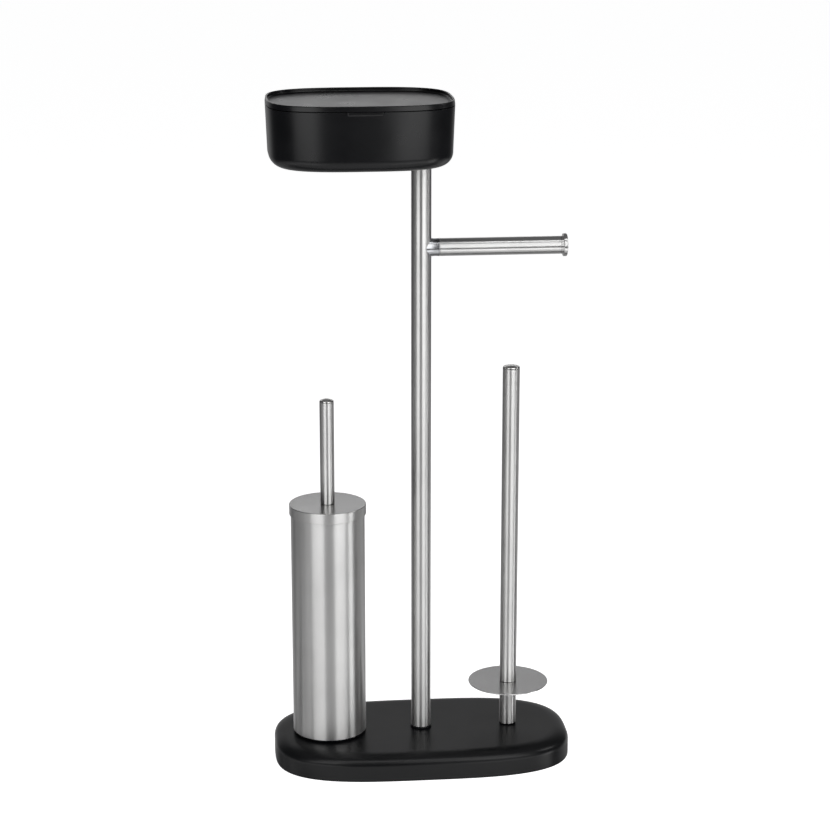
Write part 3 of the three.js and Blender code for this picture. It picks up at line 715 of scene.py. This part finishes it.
# ------------------------------------------------------------------ brush holder
def make_holder():
    tube = Measured("holder_tube")
    make_upright_tube("brush_holder_tube", "holder_tube", "holder")
    foot = Measured("holder_foot")
    middle = (foot.middle.x, foot.middle.y, 0)
    seat = tube.low.z - 0.3 * MM
    spigot = 36.1 * MM
    inner = 35 * MM
    edge = 0.4 * MM
    radius = foot.half.x
    profile = [
        (0, foot.low.z), (radius - 0.8 * MM, foot.low.z), (radius - 0.2 * MM, foot.low.z + 0.5 * MM),
        *arc(radius - edge, seat - edge, edge, 0, 90, 4),
        (spigot, seat), (spigot, foot.high.z), (inner, foot.high.z), (inner, seat), (0, seat),
    ]
    shape = turned(profile, middle)
    finished("holder_black_foot", shape, black_plastic, "holder", "black_plastic", "holder_foot")

    liner = Measured("holder_liner_cup")
    outer, wall, floor = 34.6 * MM, 1.4 * MM, 1.6 * MM
    rim_radius = liner.half.x
    rim_low = liner.high.z - 1.2 * MM
    bend = 4 * MM
    lip = 0.5 * MM
    mouth = 0.6 * MM
    profile = [
        (0, liner.low.z), *arc(outer - bend, liner.low.z + bend, bend, -90, 0, 8),
        (outer, rim_low), (rim_radius - lip, rim_low),
        *arc(rim_radius - lip, liner.high.z - lip, lip, 0, 90, 5),
        *arc(outer - wall + mouth, liner.high.z - mouth, mouth, 90, 180, 5),
        *arc(outer - bend, liner.low.z + bend, bend - wall, 0, -90, 8), (0, liner.low.z + floor),
    ]
    shape = turned(profile, middle)
    finished("holder_liner", shape, liner_plastic, "holder", "liner_plastic", "holder_liner_cup")


# ------------------------------------------------------------------ toilet brush
def make_lid_cap():
    cap = Measured("brush_lid_cap")
    middle = (cap.middle.x, cap.middle.y, 0)
    radius = cap.half.x
    wall = 1.1 * MM
    edge = 0.9 * MM
    hem = 0.5 * MM
    profile = closed([
        (STUD_HOLE, cap.high.z - wall), (radius - wall, cap.high.z - wall),
        (radius - wall, cap.low.z + 0.2 * MM),
        *arc(radius - hem, cap.low.z + hem, hem, -90, 0, 5),
        *arc(radius - edge, cap.high.z - edge, edge, 0, 90, 8), (STUD_HOLE, cap.high.z),
    ])
    band = brushed_steel("brushed_cap_band_steel", "Z")
    top_middle = Vector((cap.middle.x, cap.middle.y, cap.high.z))
    top = ring_brushed_steel("ring_brushed_cap_steel", top_middle)
    shape = turned(profile, middle, steps=FINE_TURN)
    piece = finished("brush_steel_lid", shape, band, "brush", "brushed_steel", "brush_lid_cap")
    piece.data.materials.append(top)
    mostly_up = 0.7
    for face in piece.data.polygons:
        if face.normal.z > mostly_up:
            face.material_index = 1


def make_handle():
    make_upright_tube("brush_handle_steel", "brush_handle_tube", "brush", HANDLE_WALL)
    make_tube_cap("brush_handle_domed_cap", "brush_handle_cap", 6.4 * MM, 2.8 * MM, "brush")


def make_brush_stem():
    hub = Measured("brush_hub")
    middle = (hub.middle.x, hub.middle.y, 0)
    edge = 0.8 * MM
    radius = hub.half.x
    profile = closed([
        (STUD_HOLE, hub.low.z), *arc(radius - edge, hub.low.z + edge, edge, -90, 0, 5),
        (radius, hub.high.z), (STUD_HOLE, hub.high.z),
    ])
    shape = turned(profile, middle, steps=SMALL_TURN)
    finished("brush_lid_hub", shape, black_plastic, "brush", "black_plastic", "brush_hub")

    stem = Measured("brush_stem")
    shoulder = hub.low.z - 0.3 * MM
    radius = stem.half.x
    flute = 0.5 * MM
    rings = []
    spacing = 24 * MM
    height = shoulder - 8 * MM
    while height > stem.low.z + spacing:
        rings += [(radius, height), (radius - flute, height - 1 * MM), (radius - flute, height - 2 * MM),
                  (radius, height - 3 * MM)]
        height -= spacing
    spigot = 3 * MM
    profile = [
        (0, stem.low.z), (radius, stem.low.z), *reversed(rings), (radius, shoulder - flute),
        (radius - flute, shoulder), (spigot, shoulder), (spigot, stem.high.z - 1 * MM), (0, stem.high.z),
    ]
    shape = turned(profile, middle, steps=SMALL_TURN)
    finished("brush_stem_rod", shape, black_plastic, "brush", "black_plastic", "brush_stem")

    core = Measured("brush_head_core")
    radius = core.half.x
    shoulder = radius / 2
    socket = 4.8 * MM
    profile = [
        (0, core.low.z), *arc(radius - shoulder, core.low.z + shoulder, shoulder, -90, 0, 8),
        *arc(radius - shoulder, core.high.z - shoulder, shoulder, 0, 80, 8), (socket, core.high.z),
        (socket, stem.low.z - 0.3 * MM), (0, stem.low.z - 0.3 * MM),
    ]
    shape = turned(profile, middle, steps=SMALL_TURN)
    finished("brush_head_block", shape, black_plastic, "brush", "black_plastic", "brush_head_core")


def make_bristles():
    """Tufts set round the head block in staggered rows, and a crown of them fanned out under its end."""
    mass = Measured("brush_bristles")
    core = Measured("brush_head_core")
    draw = random.Random(7)
    tufts = [tuft_mesh(draw) for _ in range(5)]
    bm = bmesh.new()
    root = core.half.x - 0.8 * MM
    reach = mass.half.x - 0.4 * MM
    axis = Vector((mass.middle.x, mass.middle.y, 0))
    rows, places = 15, 18
    low, high = core.low.z + 5 * MM, mass.high.z - 5 * MM
    for row in range(rows):
        height = low + (high - low) * row / (rows - 1)
        for place in range(places):
            turn = FULL_TURN * (place + 0.5 * (row % 2)) / places
            outward = Vector((math.cos(turn), math.sin(turn), 0))
            start = axis + outward * root + Vector((0, 0, height))
            plant(bm, draw.choice(tufts), start, outward, reach - root)
    crown = ((0.2, 6, 75), (0.55, 11, 50), (0.9, 16, 26))
    for ring, count, tilt in crown:
        for place in range(count):
            turn = FULL_TURN * place / count
            flat = Vector((math.cos(turn), math.sin(turn), 0))
            lean = math.radians(tilt)
            outward = flat * math.cos(lean) - Vector((0, 0, math.sin(lean)))
            out = core.half.x * ring * 0.8
            start = axis + flat * out + Vector((0, 0, core.low.z + 2.5 * MM * (1 + ring)))
            deepest = (start.z - mass.low.z - 0.6 * MM) / math.sin(lean)
            widest = (reach - out) / math.cos(lean)
            plant(bm, draw.choice(tufts), start, outward, min(deepest, widest))
    for mesh in tufts:
        bpy.data.meshes.remove(mesh)
    finished("brush_bristle_tufts", bm, nylon, "brush", "bristle", "brush_bristles")


def tuft_mesh(draw):
    """A bunch of thin tapered bristles that stand along Z, one unit long, and spread towards their tips."""
    bm = bmesh.new()
    outer = 8
    for strand in range(outer + 1):
        turn = FULL_TURN * strand / outer
        spread = 0 if strand == outer else 1
        side = Vector((math.cos(turn), math.sin(turn), 0)) * spread
        root_at = side * 0.7 * MM
        tip = root_at + side * draw.uniform(0.5, 1.6) * MM + Vector((0, 0, draw.uniform(0.93, 0.99)))
        verts = bmesh.ops.create_cone(
            bm, cap_ends=True, segments=4, radius1=0.28 * MM, radius2=0.17 * MM, depth=1,
        )["verts"]
        for v in verts:
            share = v.co.z + 0.5
            v.co = root_at.lerp(tip, share) + Vector((v.co.x, v.co.y, 0))
    mesh = bpy.data.meshes.new("tuft")
    bm.to_mesh(mesh)
    bm.free()
    return mesh


def plant(bm, mesh, start, outward, length):
    """Sets a copy of the tuft at start, pointing outward, drawn out to its length."""
    first = len(bm.verts)
    bm.from_mesh(mesh)
    bm.verts.ensure_lookup_table()
    place = Matrix.Translation(start) @ outward.to_track_quat("Z", "Y").to_matrix().to_4x4()
    bmesh.ops.transform(bm, matrix=place @ Matrix.Diagonal((1, 1, length, 1)), verts=bm.verts[first:])


# ------------------------------------------------------------------ CAD nodes that stay as they are
def finish_kept_nodes():
    kept = {
        "zinc_steel": zinc,
        "cast_weight": weight_iron,
        "black_plastic": black_plastic,
    }
    for row in frame["record"]["subparts"]:
        node = frame["nodes"][row["node"]]
        if node.hide_render or row["material_slot"] not in kept:
            continue
        node.data.materials.clear()
        node.data.materials.append(kept[row["material_slot"]])


# ------------------------------------------------------------------ studio
def soft_light(name, at, towards, width, height, radiance):
    """A rectangular softbox whose face has one radiance all over, whatever its size."""
    data = bpy.data.lights.new(name, "AREA")
    data.shape = "RECTANGLE"
    data.size = width
    data.size_y = height
    data.energy = radiance * math.pi * width * height
    light = bpy.data.objects.new(name, data)
    light.location = at
    light.rotation_euler = (Vector(towards) - Vector(at)).to_track_quat("-Z", "Y").to_euler()
    light.visible_camera = False
    bpy.context.scene.collection.objects.link(light)


def make_surroundings():
    """A plain room, dim on the viewer's side and paler behind the object."""
    world = bpy.data.worlds.new("studio_air")
    bpy.context.scene.world = world
    world.use_nodes = True
    nodes, links = world.node_tree.nodes, world.node_tree.links
    coords = nodes.new("ShaderNodeTexCoord")
    split = nodes.new("ShaderNodeSeparateXYZ")
    ramp = nodes.new("ShaderNodeValToRGB")
    ramp.color_ramp.elements[0].position = 0.85
    ramp.color_ramp.elements[0].color = (0.06, 0.06, 0.062, 1)
    ramp.color_ramp.elements[1].position = 0.965
    ramp.color_ramp.elements[1].color = (0.4, 0.4, 0.405, 1)
    spread = nodes.new("ShaderNodeMapRange")
    spread.inputs["From Min"].default_value = -1
    links.new(coords.outputs["Generated"], split.inputs["Vector"])
    links.new(split.outputs["Y"], spread.inputs["Value"])
    links.new(spread.outputs["Result"], ramp.inputs["Fac"])
    links.new(ramp.outputs["Color"], nodes["Background"].inputs["Color"])


def make_studio():
    scene = bpy.context.scene
    scene.view_settings.view_transform = "Standard"
    make_surroundings()
    soft_light("right_softbox", (0.4, -0.6, 0.83), (0.4, 0, 0.83), 0.64, 0.74, 2.8)
    soft_light("right_low_softbox", (0.4, -0.6, 0.05), (0.4, 0, 0.05), 0.64, 0.34, 1.3)
    soft_light("right_edge_strip", (1.06, -0.455, -0.1), (0, -0.03, -0.1), 0.33, 0.7, 2.6)
    soft_light("right_high_softbox", (1.0, 0, 0.95), (0.12, -0.05, 0.02), 0.24, 0.24, 6.0)
    soft_light("left_softbox", (-0.62, -0.6, 0.83), (-0.62, 0, 0.83), 0.72, 0.74, 2.5)
    soft_light("left_low_softbox", (-0.62, -0.6, 0.05), (-0.62, 0, 0.05), 0.72, 0.34, 1.15)
    soft_light("left_low_fill", (-1.15, -0.25, -0.2), (0, -0.25, -0.2), 0.7, 0.7, 0.75)
    soft_light("left_back_fill", (-1.0, 0.3, -0.15), (0, 0, 0.1), 0.6, 0.6, 0.3)
    soft_light("right_back_fill", (1.0, 0.5, -0.15), (0, 0, 0.1), 0.9, 0.6, 0.5)
    soft_light("table_bounce", (0, -0.68, -0.03), (0, -0.68, 1), 2, 1.14, 0.85)
    soft_light("table_back_bounce", (0, 0.5, -0.03), (0, 0.5, 1), 2, 0.8, 0.3)
    soft_light("overhead_strip", (0, -0.5, 1.6), (0, 0, 0.5), 1.6, 0.25, 3.2)
    soft_light("ceiling_panel", (0, 0.4, 2.2), (0, 0.4, 0), 3, 2.4, 0.14)
    soft_light("backdrop_panel", (0, 1, 0.77), (0, 0, 0.68), 0.9, 0.12, 1.0)

    bm = bmesh.new()
    bmesh.ops.create_grid(bm, x_segments=1, y_segments=1, size=20)
    mesh = bpy.data.meshes.new("studio_floor")
    bm.to_mesh(mesh)
    bm.free()
    floor = bpy.data.objects.new("studio_floor", mesh)
    scene.collection.objects.link(floor)
    finish, nodes, links, shader = new_finish("pale_floor")
    shader.inputs["Base Color"].default_value = (0.9, 0.9, 0.9, 1)
    shader.inputs["Roughness"].default_value = 0.9
    shader.inputs["Specular IOR Level"].default_value = 0
    shader.inputs["Emission Color"].default_value = (1, 1, 1, 1)
    shader.inputs["Emission Strength"].default_value = 0.92
    mesh.materials.append(finish)
    floor.visible_glossy = False
    floor.visible_shadow = False


def make_camera():
    data = bpy.data.cameras.new("studio_camera")
    data.lens = CAMERA_LENS
    data.sensor_width = 36
    camera = bpy.data.objects.new("studio_camera", data)
    camera.location = CAMERA_AT
    camera.rotation_euler = Vector(CAMERA_AIM).to_track_quat("-Z", "Y").to_euler()
    data.clip_end = 60
    bpy.context.scene.collection.objects.link(camera)
    bpy.context.scene.camera = camera


make_base()
make_foot_pads()
make_column()
make_spare_post()
make_roll_arm()
box_outline, box_rim = make_box()
make_lid(box_outline, box_rim)
make_box_fixing()
make_holder()
make_lid_cap()
make_handle()
make_brush_stem()
make_bristles()
finish_kept_nodes()
make_studio()
make_camera()
